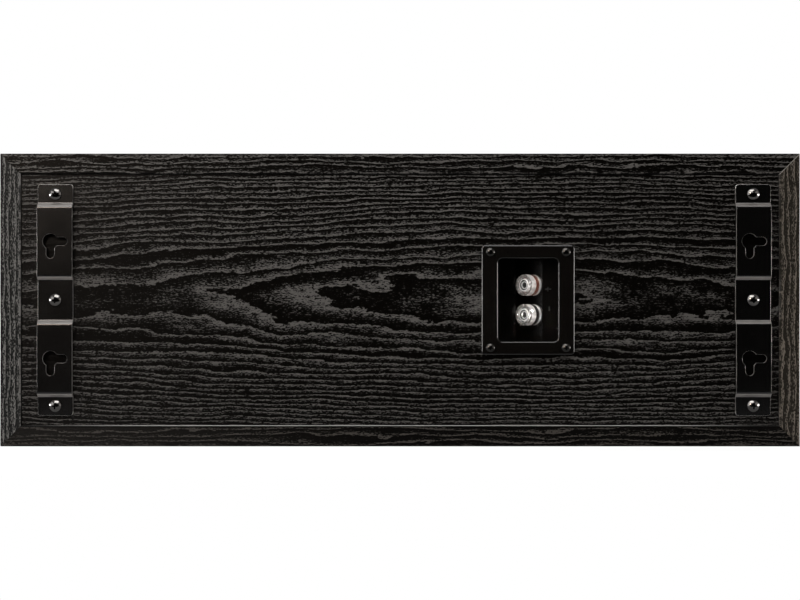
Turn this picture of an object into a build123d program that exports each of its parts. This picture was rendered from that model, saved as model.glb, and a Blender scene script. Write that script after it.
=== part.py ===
from build123d import *
import os
from math import atan2, cos, radians, sin, tan

# All sizes in millimetres. +Z is up, the drivers face -Y, the hanging brackets face +Y and
# the origin is the middle of the cabinet's underside.

# Cabinet: a mitred sleeve closed by an overlaid front baffle and an inset back panel
cabinet_width = 508.0
cabinet_height = 186.0
cabinet_depth = 150.0
panel_thickness = 15.0
baffle_thickness = 18.0
baffle_edge_radius = 3.0
back_thickness = 12.0
back_inset = 1.5
rebate_depth = 2.2
rim_chamfer = 0.6
glue_gap = 0.1
damping_thickness = 20.0
damping_margin = 6.0

# Clearances shared by every fastener
screw_hole_clearance = 0.3
pilot_clearance = 0.05

# Hanging brackets: one joggled strip each, two keyholes in the raised spans
bracket_width = 22.2
bracket_end_gap = 6.7
bracket_standoff = 2.8
strip_thickness = 1.5
end_tab_length = 12.2
middle_tab_length = 26.4
joggle_run = 2.1
bend_radius = 1.6
tab_corner_radius = 1.8
keyhole_side_distance = 32.3
keyhole_offset = 2.7
keyhole_radius = 4.95
keyhole_slot_width = 5.4
keyhole_slot_reach = 8.1
bracket_screw_radius = 1.75
bracket_screw_length = 10.0
bracket_screw_head_radius = 3.75
bracket_screw_head_height = 2.4

# Terminal cup: a flanged tub whose slanted floor carries the two posts
cup_offset = 81.3
cup_width = 59.0
cup_height = 69.8
cup_plate_thickness = 2.5
cup_corner_radius = 2.0
cup_edge_radius = 0.9
cup_wall = 2.2
cup_cutout_clearance = 0.8
recess_width = 38.4
recess_height = 52.8
recess_corner_radius = 3.2
recess_lip_radius = 0.8
recess_depth = 24.0
ledge_depth = 8.0
ledge_width = 9.5
gasket_thickness = 1.0
gasket_inset = 0.8
cup_screw_inset_x = 5.5
cup_screw_inset_y = 4.5
cup_screw_radius = 1.4
cup_screw_length = 12.0
cup_screw_head_radius = 2.7
cup_screw_head_height = 1.6

# Binding posts: hollow stud, knurled insert, clear fluted sleeve and a coloured ring
post_tilt = 45.0
post_pitch = 19.0
post_crease_distance = 7.35
collar_radius = 6.7
collar_thickness = 2.0
collar_edge_radius = 0.5
stud_radius = 3.0
stud_length = 9.2
stud_tip_chamfer = 0.6
socket_radius = 2.0
socket_depth = 17.0
wire_hole_radius = 1.2
shank_length = 13.0
thread_clearance = 0.05
nut_seat_gap = 0.1
nut_length = 8.1
insert_radius = 4.2
insert_setback = 0.5
insert_edge_radius = 0.5
sleeve_radius = 6.75
sleeve_edge_radius = 0.6
flute_count = 12
flute_radius = 1.5
flute_depth = 0.35
ring_radius = 5.5
ring_length = 2.9
ring_clearance = 0.15
tag_thickness = 0.8
tag_radius = 5.0
tag_width = 4.0
tag_reach = 10.0
lock_nut_across_flats = 9.0
lock_nut_thickness = 3.0

# Woofers: stamped basket, cone on a rubber half-roll, ferrite motor
woofer_side_margin = 23.0
woofer_flange_radius = 73.0
woofer_flange_thickness = 4.4
woofer_flange_edge_radius = 1.2
woofer_rebate_clearance = 0.5
woofer_seat_radius = 62.0
woofer_seat_depth = 3.4
basket_wall = 1.8
basket_wall_radius = 64.0
basket_shoulder_depth = 14.0
spider_shelf_radius = 39.0
spider_shelf_depth = 36.0
basket_floor_radius = 31.0
motor_depth = 46.0
basket_bore_radius = 20.0
basket_window_count = 6
basket_window_width = 26.0
woofer_tag_width = 16.0
woofer_tag_reach = 9.0
woofer_cutout_clearance = 2.0
surround_thickness = 0.8
surround_lip = 2.6
cone_rim_radius = 49.0
cone_thickness = 1.0
cone_base_radius = 18.5
cone_base_depth = 21.0
cone_flare = 3.2
dust_cap_height = 9.0
dust_cap_thickness = 0.8
dust_cap_lip = 1.6
pole_radius = 12.2
coil_gap = 0.4
former_thickness = 0.4
winding_thickness = 0.8
winding_length = 10.0
coil_outer_gap = 0.8
spider_thickness = 0.6
spider_wave_height = 1.6
spider_wave_count = 5
spider_collar = 3.0
woofer_plate_radius = 38.0
woofer_plate_thickness = 5.0
woofer_magnet_radius = 42.0
woofer_magnet_bore_radius = 19.0
woofer_magnet_thickness = 15.0
woofer_yoke_thickness = 5.0
woofer_screw_count = 4
woofer_screw_circle_radius = 68.0
woofer_screw_radius = 1.9
woofer_screw_length = 15.0
woofer_screw_head_radius = 3.4
woofer_screw_head_height = 2.2
woofer_screw_sink = 2.4
hex_key_size = 2.5

# Tweeter: faceplate with a shallow waveguide over a silk dome
tweeter_plate_radius = 50.0
tweeter_plate_thickness = 4.0
tweeter_plate_edge_radius = 0.8
tweeter_rebate_clearance = 0.4
waveguide_radius = 34.0
throat_radius = 17.0
tweeter_boss_radius = 38.0
tweeter_boss_depth = 7.6
tweeter_cutout_clearance = 2.0
dome_radius = 12.7
dome_height = 6.4
dome_thickness = 0.4
dome_roll_radius = 1.5
dome_lip = 3.5
tweeter_coil_thickness = 0.7
tweeter_coil_length = 7.0
tweeter_coil_gap = 0.4
tweeter_top_plate_radius = 30.0
tweeter_top_plate_thickness = 4.0
tweeter_magnet_radius = 34.0
tweeter_magnet_bore_radius = 17.0
tweeter_magnet_thickness = 14.0
tweeter_yoke_thickness = 4.0
tweeter_screw_count = 4
tweeter_screw_circle_radius = 44.5
tweeter_screw_radius = 1.6
tweeter_screw_length = 14.0
tweeter_screw_head_radius = 3.0
tweeter_screw_head_height = 2.0
tweeter_screw_sink = 2.2

# Grille sockets in the baffle's corners
grille_socket_margin = 18.0
grille_socket_radius = 4.5
grille_socket_flange_radius = 6.0
grille_socket_flange_thickness = 0.8
grille_socket_depth = 12.0
grille_peg_radius = 3.0
grille_peg_depth = 9.5

# Crossover board on the inside of the back panel
crossover_offset = 66.0
board_width = 92.0
board_height = 84.0
board_thickness = 1.6
board_margin = 5.0
support_radius = 3.0
support_height = 8.0
low_pass_coil_radius = 19.0
low_pass_coil_height = 20.0
low_pass_coil_bore_radius = 9.0
high_pass_coil_radius = 13.0
high_pass_coil_height = 14.0
high_pass_coil_bore_radius = 6.0
coil_flange = 1.2
coil_flange_step = 1.5
large_capacitor_radius = 9.0
large_capacitor_length = 32.0
small_capacitor_radius = 7.0
small_capacitor_length = 26.0
resistor_length = 34.0
resistor_side = 9.0
lead_radius = 1.1
lead_pitch = 3.4
lead_bend_radius = 8.0
lead_run_depth = 34.0
lead_layer = 6.0

# Places that follow from the sizes above
front_y = -cabinet_depth / 2
sleeve_y = front_y + baffle_thickness
rear_y = cabinet_depth / 2
back_y = rear_y - back_inset
back_inner_y = back_y - back_thickness
middle_z = cabinet_height / 2
rim_width = panel_thickness - rebate_depth
back_width = cabinet_width - 2 * rim_width - 2 * glue_gap
back_height = cabinet_height - 2 * rim_width - 2 * glue_gap
bracket_length = back_height - 2 * bracket_end_gap
end_screw_y = bracket_length / 2 - end_tab_length / 2
raised_inner = middle_tab_length / 2 + joggle_run
raised_outer = bracket_length / 2 - end_tab_length - joggle_run
keyhole_y = (raised_inner + raised_outer) / 2
keyhole_x = cabinet_width / 2 - keyhole_side_distance
cup_face = gasket_thickness + cup_plate_thickness
crease_x = recess_width / 2 - ledge_width
tub_width = recess_width + 2 * cup_wall
tub_height = recess_height + 2 * cup_wall
tub_corner_radius = recess_corner_radius + cup_wall
cup_screw_x = cup_width / 2 - cup_screw_inset_x
cup_screw_y = cup_height / 2 - cup_screw_inset_y
woofer_x = cabinet_width / 2 - woofer_side_margin - woofer_flange_radius
former_radius = pole_radius + coil_gap + former_thickness
winding_radius = former_radius + winding_thickness
gap_radius = winding_radius + coil_outer_gap
basket_cutout_radius = basket_wall_radius + woofer_cutout_clearance
magnet_front = motor_depth + woofer_plate_thickness
magnet_rear = magnet_front + woofer_magnet_thickness
board_y = back_inner_y - support_height - board_thickness


def facing_rear(x, z, y=back_y):
    """Frame on the back panel: local x runs toward -X, local y up and local z outward."""
    return Plane(origin=(x, y, z), x_dir=(-1, 0, 0), z_dir=(0, 1, 0))


def facing_front(x, z):
    """Frame on the baffle's face: local x runs toward +X, local y up and local z outward."""
    return Plane(origin=(x, front_y, z), x_dir=(1, 0, 0), z_dir=(0, -1, 0))


def facing_inside(x, z, y):
    """Frame on the inside of the back panel: local z runs into the cabinet."""
    return Plane(origin=(x, y, z), x_dir=(1, 0, 0), z_dir=(0, -1, 0))


def turned(*outline):
    """Solid turned about local z from (radius, height) corners."""
    return revolve(Plane.XZ * Polygon(*outline, align=None), Axis.Z)


def turned_curve(*edges):
    """Solid turned about local z from edges drawn in (radius, height)."""
    return revolve(Plane.XZ * make_face(edges), Axis.Z)


def cap_arc(radius, base, height):
    """Arc of a spherical cap from its rim at (radius, base) to its crown on the axis."""
    sphere = (radius**2 + height**2) / (2 * height)
    half = atan2(radius, sphere - height) / 2
    middle = (sphere * sin(half), base + height - sphere * (1 - cos(half)))
    return ThreePointArc((radius, base), middle, (0, base + height))


def rod(radius, bottom, top, x=0.0, y=0.0):
    """Cylinder along local z between two heights."""
    return Pos(x, y, (bottom + top) / 2) * Cylinder(radius, top - bottom)


def ring(outer, inner, bottom, top):
    """Flat washer about local z."""
    return turned((inner, bottom), (outer, bottom), (outer, top), (inner, top))


def slab(width, height, bottom, top, radius=0.0):
    """Plate centred on local z, its corners rounded when a radius is given."""
    outline = RectangleRounded(width, height, radius) if radius else Rectangle(width, height)
    return Pos(0, 0, bottom) * extrude(outline, top - bottom)


def at(*points):
    """Flat places as locations."""
    return [Pos(x, y, 0) for x, y in points]


def circle_points(count, radius, start):
    """Points evenly spaced on a circle, from a starting angle in degrees."""
    angles = [radians(start + 360 * i / count) for i in range(count)]
    return [(radius * cos(a), radius * sin(a)) for a in angles]


def group(shapes):
    """Several equal pieces that make one node."""
    return Compound(children=list(shapes))


def pan_screw(shank, length, head, head_height):
    """Domed screw with a cross recess; the head's underside is at height 0."""
    edge = head_height * 0.35
    body = turned_curve(
        Line((0, -length), (shank, -length + 1.5 * shank)),
        Line((shank, -length + 1.5 * shank), (shank, 0)),
        Line((shank, 0), (head, 0)),
        Line((head, 0), (head, edge)),
        cap_arc(head, edge, head_height - edge),
        Line((0, head_height), (0, -length)),
    )
    arm = slab(head * 1.05, head * 0.28, head_height * 0.45, head_height + 1)
    return body - arm - Rot(0, 0, 90) * arm


def socket_screw(shank, length, head, head_height, key):
    """Cylinder-head screw with a hexagon socket; the head's underside is at height 0."""
    rim = 0.4
    body = turned(
        (0, -length),
        (shank, -length + 1.5 * shank),
        (shank, 0),
        (head, 0),
        (head, head_height - rim),
        (head - rim, head_height),
        (0, head_height),
    )
    hexagon = RegularPolygon(key / 2, 6, major_radius=False)
    return body - Pos(0, 0, head_height * 0.4) * extrude(hexagon, head_height)


def sleeve_panels():
    """Four mitred panels, rebated at the rear for the back panel."""
    half_width = cabinet_width / 2
    inner_x = half_width - panel_thickness
    inner_z = cabinet_height - panel_thickness
    sections = {
        "top_panel": [
            (-half_width, cabinet_height),
            (half_width, cabinet_height),
            (inner_x, inner_z),
            (-inner_x, inner_z),
        ],
        "bottom_panel": [
            (-half_width, 0),
            (half_width, 0),
            (inner_x, panel_thickness),
            (-inner_x, panel_thickness),
        ],
        "left_side_panel": [
            (-half_width, 0),
            (-inner_x, panel_thickness),
            (-inner_x, inner_z),
            (-half_width, cabinet_height),
        ],
        "right_side_panel": [
            (half_width, 0),
            (inner_x, panel_thickness),
            (inner_x, inner_z),
            (half_width, cabinet_height),
        ],
    }
    opening_width = back_width + 2 * glue_gap
    opening_height = back_height + 2 * glue_gap
    rebate = facing_rear(0, middle_z) * slab(
        opening_width, opening_height, -back_thickness, back_inset + 1
    )
    flared = Rectangle(opening_width + 2 * rim_chamfer, opening_height + 2 * rim_chamfer)
    bevel = facing_rear(0, middle_z, rear_y) * extrude(flared, -rim_chamfer, taper=45)
    panels = {}
    for name, corners in sections.items():
        section = Plane.XZ * Polygon(*corners, align=None)
        board = Pos(0, sleeve_y, 0) * extrude(section, rear_y - sleeve_y, dir=(0, 1, 0))
        panels[name] = board - rebate - bevel
    return panels


def front_baffle():
    """Overlaid baffle with rebated driver holes and grille socket holes."""
    board = slab(cabinet_width, cabinet_height, -baffle_thickness, 0)
    face = board.faces().sort_by(Axis.Z)[-1]
    board = fillet(face.edges(), baffle_edge_radius)
    for x in (-woofer_x, woofer_x):
        seat = rod(woofer_flange_radius + woofer_rebate_clearance, -woofer_flange_thickness, 1)
        hole = rod(basket_cutout_radius, -baffle_thickness - 1, 0)
        board -= Pos(x, 0, 0) * (seat + hole)
        for place in at(*woofer_screw_points()):
            pilot = rod(woofer_screw_radius + pilot_clearance, -woofer_pilot_depth(), 0)
            board -= Pos(x, 0, 0) * place * pilot
    board -= rod(tweeter_plate_radius + tweeter_rebate_clearance, -tweeter_plate_thickness, 1)
    board -= rod(tweeter_boss_radius + tweeter_cutout_clearance, -baffle_thickness - 1, 0)
    for place in at(*tweeter_screw_points()):
        depth = tweeter_screw_sink + tweeter_screw_length
        board -= place * rod(tweeter_screw_radius + pilot_clearance, -depth, 0)
    for place in at(*grille_socket_points()):
        board -= place * rod(grille_socket_radius + pilot_clearance, -grille_socket_depth, 1)
    return facing_front(0, middle_z) * board


def woofer_screw_points():
    return circle_points(woofer_screw_count, woofer_screw_circle_radius, 45)


def woofer_pilot_depth():
    return woofer_screw_sink + woofer_screw_length


def tweeter_screw_points():
    return circle_points(tweeter_screw_count, tweeter_screw_circle_radius, 45)


def grille_socket_points():
    x = cabinet_width / 2 - grille_socket_margin
    y = cabinet_height / 2 - grille_socket_margin
    return [(-x, -y), (x, -y), (-x, y), (x, y)]


def bracket_screw_points():
    return [(0, -end_screw_y), (0, 0), (0, end_screw_y)]


def cup_screw_points():
    return [(sx * cup_screw_x, sy * cup_screw_y) for sx in (-1, 1) for sy in (-1, 1)]


def bracket_frames():
    """Frames of the two strips; each keyhole column is equally far from its cabinet side."""
    return {
        "right": facing_rear(keyhole_x - keyhole_offset, middle_z),
        "left": facing_rear(-keyhole_x - keyhole_offset, middle_z),
    }


def back_panel():
    """Inset back panel with the tub's cutout and pilot holes for both sets of screws."""
    board = facing_rear(0, middle_z) * slab(back_width, back_height, -back_thickness, 0)
    cutout = slab(
        tub_width + 2 * cup_cutout_clearance,
        tub_height + 2 * cup_cutout_clearance,
        -back_thickness - 1,
        1,
        tub_corner_radius + cup_cutout_clearance,
    )
    board -= facing_rear(-cup_offset, middle_z) * cutout
    for place in at(*cup_screw_points()):
        depth = cup_screw_length - cup_face
        hole = rod(cup_screw_radius + pilot_clearance, -depth, 1)
        board -= facing_rear(-cup_offset, middle_z) * place * hole
    for frame in bracket_frames().values():
        for place in at(*bracket_screw_points()):
            depth = bracket_screw_length - strip_thickness
            hole = rod(bracket_screw_radius + pilot_clearance, -depth, 1)
            board -= frame * place * hole
    return board


def hanging_bracket():
    """Strip bent out twice on its way up, with a two-way keyhole in each raised span."""
    end = bracket_length / 2
    low = strip_thickness / 2
    high = low + bracket_standoff
    upper = [
        (middle_tab_length / 2, low),
        (raised_inner, high),
        (raised_outer, high),
        (end - end_tab_length, low),
        (end, low),
    ]
    lower = [(-y, z) for y, z in reversed(upper)]
    path = FilletPolyline(*[(0, y, z) for y, z in lower + upper], radius=bend_radius)
    section = Plane(origin=(0, -end, low), x_dir=(1, 0, 0), z_dir=(0, 1, 0))
    strip = sweep(section * Rectangle(bracket_width, strip_thickness), path=path)
    ends = strip.edges().filter_by(Axis.Z).group_by(Axis.Y)
    strip = fillet(ends[0] + ends[-1], tab_corner_radius)
    for place in at(*bracket_screw_points()):
        strip -= place * rod(bracket_screw_radius + screw_hole_clearance, -1, strip_thickness + 1)
    for y in (-keyhole_y, keyhole_y):
        cutter = extrude(keyhole_outline(), 2 * (high + strip_thickness), both=True)
        strip -= Pos(-keyhole_offset, y, 0) * cutter
    return strip


def keyhole_outline():
    """Round entry with one slot to local +x and one to local -y."""
    end = keyhole_slot_width / 2
    outline = Circle(keyhole_radius)
    for x, y in ((keyhole_slot_reach, 0), (0, -keyhole_slot_reach)):
        long_x = max(abs(x), keyhole_slot_width)
        long_y = max(abs(y), keyhole_slot_width)
        outline += Pos(x / 2, y / 2) * Rectangle(long_x, long_y)
        outline += Pos(x, y) * Circle(end)
    return outline


def recess_space(drop_x, drop_z, width, height, radius, top):
    """Space over the cup's floor: deep part, slanted face and ledge, seen along local y."""
    rise = recess_depth - ledge_depth
    run = rise / tan(radians(post_tilt))
    far = width
    ledge_z = cup_face - ledge_depth + drop_z
    floor_z = cup_face - recess_depth + drop_z
    profile = Polygon(
        (-far, floor_z),
        (crease_x - run + drop_x, floor_z),
        (crease_x + drop_x, ledge_z),
        (far, ledge_z),
        (far, top),
        (-far, top),
        align=None,
    )
    space = extrude(Plane.XZ * profile, height, both=True)
    return space & slab(width, height, -2 * recess_depth, top, radius)


def post_frames():
    """Frames on the slanted face, local z along each post; the upper post is the red one."""
    tilt = radians(post_tilt)
    x = crease_x - post_crease_distance * cos(tilt)
    z = cup_face - ledge_depth - post_crease_distance * sin(tilt)
    base = facing_rear(-cup_offset, middle_z)
    frames = {}
    for name, side in (("red", 1), ("black", -1)):
        local = Plane(
            origin=(x, side * post_pitch / 2, z),
            x_dir=(0, side, 0),
            z_dir=(-sin(tilt), 0, cos(tilt)),
        )
        frames[name] = base * local.location
    return frames


def terminal_cup():
    """Flange and tub in one moulding, its lip and outer edge rounded."""
    shift = cup_wall * tan(radians(post_tilt) / 2)
    plate = slab(cup_width, cup_height, gasket_thickness, cup_face, cup_corner_radius)
    tub = recess_space(shift, -cup_wall, tub_width, tub_height, tub_corner_radius, cup_face)
    space = recess_space(
        0, 0, recess_width, recess_height, recess_corner_radius, cup_face + 1
    )
    cup = plate + tub - space
    face = cup.faces().filter_by(Axis.Z).sort_by(Axis.Z)[-1]
    inner = face.inner_wires()[0].edges()
    cup = fillet(inner, recess_lip_radius)
    face = cup.faces().filter_by(Axis.Z).sort_by(Axis.Z)[-1]
    cup = fillet(face.outer_wire().edges(), cup_edge_radius)
    for place in at(*cup_screw_points()):
        cup -= place * rod(cup_screw_radius + screw_hole_clearance, 0, cup_face + 1)
    cup = facing_rear(-cup_offset, middle_z) * cup
    for frame in post_frames().values():
        cup -= frame * rod(stud_radius + screw_hole_clearance, -2 * cup_wall, 1)
    return cup


def terminal_gasket():
    """Foam ring between the cup's flange and the back panel."""
    width = cup_width - 2 * gasket_inset
    height = cup_height - 2 * gasket_inset
    sheet = slab(width, height, 0, gasket_thickness, cup_corner_radius)
    sheet -= slab(
        tub_width + 2 * cup_cutout_clearance,
        tub_height + 2 * cup_cutout_clearance,
        -1,
        gasket_thickness + 1,
        tub_corner_radius + cup_cutout_clearance,
    )
    for place in at(*cup_screw_points()):
        sheet -= place * rod(cup_screw_radius + screw_hole_clearance, -1, gasket_thickness + 1)
    return facing_rear(-cup_offset, middle_z) * sheet


def post_stud():
    """Hollow stud with its collar, wire hole above the collar and shank behind the cup."""
    tip = stud_length - stud_tip_chamfer
    edge = collar_thickness - collar_edge_radius
    stud = turned_curve(
        Line((0, -shank_length), (stud_radius, -shank_length)),
        Line((stud_radius, -shank_length), (stud_radius, 0)),
        Line((stud_radius, 0), (collar_radius, 0)),
        Line((collar_radius, 0), (collar_radius, edge)),
        RadiusArc(
            (collar_radius, edge),
            (collar_radius - collar_edge_radius, collar_thickness),
            -collar_edge_radius,
        ),
        Line((collar_radius - collar_edge_radius, collar_thickness), (stud_radius, collar_thickness)),
        Line((stud_radius, collar_thickness), (stud_radius, tip)),
        Line((stud_radius, tip), (stud_radius - stud_tip_chamfer, stud_length)),
        Line((stud_radius - stud_tip_chamfer, stud_length), (0, stud_length)),
        Line((0, stud_length), (0, -shank_length)),
    )
    stud -= rod(socket_radius, stud_length - socket_depth, stud_length + 1)
    wire_hole = Rot(90, 0, 0) * Cylinder(wire_hole_radius, 3 * stud_radius)
    return stud - Pos(0, 0, collar_thickness + 1.5 * wire_hole_radius) * wire_hole


def nut_insert():
    """Metal nut inside the sleeve, its rounded crown standing just past the stud's end."""
    bottom = collar_thickness + nut_seat_gap
    top = bottom + nut_length - insert_setback
    bore = stud_radius + thread_clearance
    crown = top - insert_edge_radius
    return turned_curve(
        Line((bore, bottom), (insert_radius, bottom)),
        Line((insert_radius, bottom), (insert_radius, crown)),
        RadiusArc(
            (insert_radius, crown), (insert_radius - insert_edge_radius, top), -insert_edge_radius
        ),
        Line((insert_radius - insert_edge_radius, top), (bore, top)),
        Line((bore, top), (bore, bottom)),
    )


def nut_sleeve():
    """Clear fluted sleeve over the insert, hollowed at its foot for the coloured ring."""
    bottom = collar_thickness + nut_seat_gap
    top = bottom + nut_length
    crown = top - sleeve_edge_radius
    foot = bottom + ring_length + 2 * ring_clearance
    hollow = ring_radius + ring_clearance
    sleeve = turned_curve(
        Line((hollow, bottom), (sleeve_radius, bottom)),
        Line((sleeve_radius, bottom), (sleeve_radius, crown)),
        RadiusArc(
            (sleeve_radius, crown), (sleeve_radius - sleeve_edge_radius, top), -sleeve_edge_radius
        ),
        Line((sleeve_radius - sleeve_edge_radius, top), (insert_radius, top)),
        Line((insert_radius, top), (insert_radius, foot)),
        Line((insert_radius, foot), (hollow, foot)),
        Line((hollow, foot), (hollow, bottom)),
    )
    centre = sleeve_radius + flute_radius - flute_depth
    for x, y in circle_points(flute_count, centre, 0):
        sleeve -= rod(flute_radius, foot, top + 1, x, y)
    return sleeve


def coloured_ring():
    """Ring that marks the post's polarity, held in the sleeve's foot."""
    bottom = collar_thickness + nut_seat_gap + ring_clearance
    return ring(ring_radius, insert_radius + ring_clearance, bottom, bottom + ring_length)


def solder_tag():
    """Washer with a tongue, clamped behind the slanted face."""
    top = -cup_wall
    bottom = top - tag_thickness
    tongue = Pos(tag_reach / 2, 0, bottom) * extrude(Rectangle(tag_reach, tag_width), tag_thickness)
    washer = rod(tag_radius, bottom, top)
    return washer + tongue - rod(stud_radius + thread_clearance, bottom - 1, top + 1)


def lock_nut():
    """Hexagon nut that clamps the stud from inside the cabinet."""
    top = -cup_wall - tag_thickness
    hexagon = RegularPolygon(lock_nut_across_flats / 2, 6, major_radius=False)
    body = Pos(0, 0, top - lock_nut_thickness) * extrude(hexagon, lock_nut_thickness)
    return body - rod(stud_radius + thread_clearance, top - lock_nut_thickness - 1, top + 1)


def woofer_basket():
    """Stamped basket: flange, surround seat, windowed cone wall, spider shelf and floor."""
    wall = basket_wall
    shelf = spider_shelf_depth
    outer_shelf = spider_shelf_radius + wall
    edge = woofer_flange_edge_radius
    basket = turned_curve(
        Line((woofer_seat_radius, 0), (woofer_flange_radius - edge, 0)),
        RadiusArc((woofer_flange_radius - edge, 0), (woofer_flange_radius, -edge), edge),
        Line((woofer_flange_radius, -edge), (woofer_flange_radius, -woofer_flange_thickness)),
        Line(
            (woofer_flange_radius, -woofer_flange_thickness),
            (basket_wall_radius, -woofer_flange_thickness),
        ),
        Line(
            (basket_wall_radius, -woofer_flange_thickness),
            (basket_wall_radius - wall, -basket_shoulder_depth),
        ),
        Line((basket_wall_radius - wall, -basket_shoulder_depth), (outer_shelf, -shelf)),
        Line((outer_shelf, -shelf), (outer_shelf, -shelf - wall)),
        Line((outer_shelf, -shelf - wall), (basket_floor_radius + wall, -shelf - wall)),
        Line((basket_floor_radius + wall, -shelf - wall), (basket_floor_radius + wall, -motor_depth)),
        Line((basket_floor_radius + wall, -motor_depth), (basket_bore_radius, -motor_depth)),
        Line((basket_bore_radius, -motor_depth), (basket_bore_radius, wall - motor_depth)),
        Line((basket_bore_radius, wall - motor_depth), (basket_floor_radius, wall - motor_depth)),
        Line((basket_floor_radius, wall - motor_depth), (basket_floor_radius, -shelf)),
        Line((basket_floor_radius, -shelf), (spider_shelf_radius, -shelf)),
        Line((spider_shelf_radius, -shelf), (basket_wall_radius - 2.5 * wall, -basket_shoulder_depth)),
        Line(
            (basket_wall_radius - 2.5 * wall, -basket_shoulder_depth),
            (basket_wall_radius - 2.5 * wall, -woofer_seat_depth),
        ),
        Line((basket_wall_radius - 2.5 * wall, -woofer_seat_depth), (woofer_seat_radius, -woofer_seat_depth)),
        Line((woofer_seat_radius, -woofer_seat_depth), (woofer_seat_radius, 0)),
    )
    window_depth = shelf - basket_shoulder_depth - 2 * wall
    window_middle = -(shelf + basket_shoulder_depth) / 2
    reach = basket_wall_radius
    window = Pos(reach / 2 + spider_shelf_radius / 2, 0, window_middle) * Box(
        reach, basket_window_width, window_depth
    )
    for place in PolarLocations(0, basket_window_count, 360 / basket_window_count / 2):
        basket -= place * window
    for place in at(*woofer_screw_points()):
        hole = rod(woofer_screw_radius + screw_hole_clearance, -woofer_flange_thickness - 1, 1)
        sink = rod(woofer_screw_head_radius + screw_hole_clearance, -woofer_screw_sink, 1)
        basket -= place * (hole + sink)
    return basket


def woofer_tag_tab(side):
    """Tag tab on the spider shelf, on the side toward the tweeter."""
    inner = spider_shelf_radius - basket_wall
    outer = spider_shelf_radius + woofer_tag_reach
    top = -spider_shelf_depth - basket_wall
    tab = Pos(side * (inner + outer) / 2, 0, top - basket_wall / 2)
    return tab * Box(outer - inner, woofer_tag_width, basket_wall)


def woofer_surround():
    """Rubber half-roll between the cone's rim and the basket's seat."""
    base = -woofer_seat_depth
    top = base + surround_thickness
    inner = cone_rim_radius
    outer = basket_wall_radius - 2.5 * basket_wall
    centre = (inner + outer) / 2
    roll = (outer - inner) / 2
    lower = roll - surround_thickness
    return turned_curve(
        Line((inner - surround_lip, base), (inner, base)),
        Line((inner, base), (inner + surround_thickness, base)),
        ThreePointArc(
            (centre - lower, base), (centre, base + lower), (centre + lower, base)
        ),
        Line((outer - surround_thickness, base), (woofer_seat_radius - glue_gap, base)),
        Line((woofer_seat_radius - glue_gap, base), (woofer_seat_radius - glue_gap, top)),
        Line((woofer_seat_radius - glue_gap, top), (outer, top)),
        ThreePointArc((outer, top), (centre, top + roll), (inner, top)),
        Line((inner, top), (inner - surround_lip, top)),
        Line((inner - surround_lip, top), (inner - surround_lip, base)),
    )


def woofer_cone():
    """Flared cone with a flat base ring for the dust cap and a flat rim for the surround."""
    rim_top = -woofer_seat_depth
    base_top = -cone_base_depth
    rim_inner = cone_rim_radius - surround_lip
    middle = ((cone_base_radius + rim_inner) / 2, (rim_top + base_top) / 2 - cone_flare)
    drop = cone_thickness
    return turned_curve(
        Line((former_radius, base_top), (cone_base_radius, base_top)),
        ThreePointArc((cone_base_radius, base_top), middle, (rim_inner, rim_top)),
        Line((rim_inner, rim_top), (cone_rim_radius, rim_top)),
        Line((cone_rim_radius, rim_top), (cone_rim_radius, rim_top - drop)),
        Line((cone_rim_radius, rim_top - drop), (rim_inner + drop, rim_top - drop)),
        ThreePointArc(
            (rim_inner + drop, rim_top - drop),
            (middle[0] + drop, middle[1] - drop),
            (cone_base_radius + drop, base_top - drop),
        ),
        Line((cone_base_radius + drop, base_top - drop), (former_radius, base_top - drop)),
        Line((former_radius, base_top - drop), (former_radius, base_top)),
    )


def dust_cap():
    """Domed cap seated on the cone's base ring."""
    base = -cone_base_depth
    outer = cone_base_radius - 2 * glue_gap
    inner = outer - dust_cap_lip
    top = base + dust_cap_height
    return turned_curve(
        Line((inner, base), (outer, base)),
        cap_arc(outer, base, dust_cap_height),
        Line((0, top), (0, top - dust_cap_thickness)),
        cap_arc(inner, base, dust_cap_height - dust_cap_thickness),
    )


def woofer_voice_coil():
    """Former glued into the cone's base, its winding centred in the magnet gap."""
    centre = -motor_depth - woofer_plate_thickness / 2
    bottom = centre - winding_length / 2
    inner = former_radius - former_thickness
    return turned(
        (inner, bottom),
        (winding_radius, bottom),
        (winding_radius, bottom + winding_length),
        (former_radius, bottom + winding_length),
        (former_radius, -cone_base_depth),
        (inner, -cone_base_depth),
    )


def woofer_spider():
    """Corrugated disc between the voice coil and the basket's shelf."""
    base = -spider_shelf_depth
    top = base + spider_thickness
    inner = former_radius + glue_gap
    start = inner + spider_thickness
    stop = basket_floor_radius
    step = (stop - start) / (2 * spider_wave_count)
    ridges = []
    for i in range(1, 2 * spider_wave_count):
        lift = spider_wave_height if i % 2 else -spider_wave_height
        ridges.append((start + i * step, lift))
    outer = spider_shelf_radius - glue_gap
    lower = [(r, base + lift) for r, lift in ridges]
    upper = [(r, top + lift) for r, lift in reversed(ridges)]
    return turned(
        (inner, base),
        (start, base),
        *lower,
        (stop, base),
        (outer, base),
        (outer, top),
        (stop, top),
        *upper,
        (start, top),
        (start, base + spider_collar),
        (inner, base + spider_collar),
    )


def woofer_yoke():
    """Rear plate and pole piece in one."""
    rear = magnet_rear + woofer_yoke_thickness
    return turned(
        (0, -rear),
        (woofer_plate_radius, -rear),
        (woofer_plate_radius, -magnet_rear),
        (pole_radius, -magnet_rear),
        (pole_radius, -motor_depth),
        (0, -motor_depth),
    )


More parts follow.
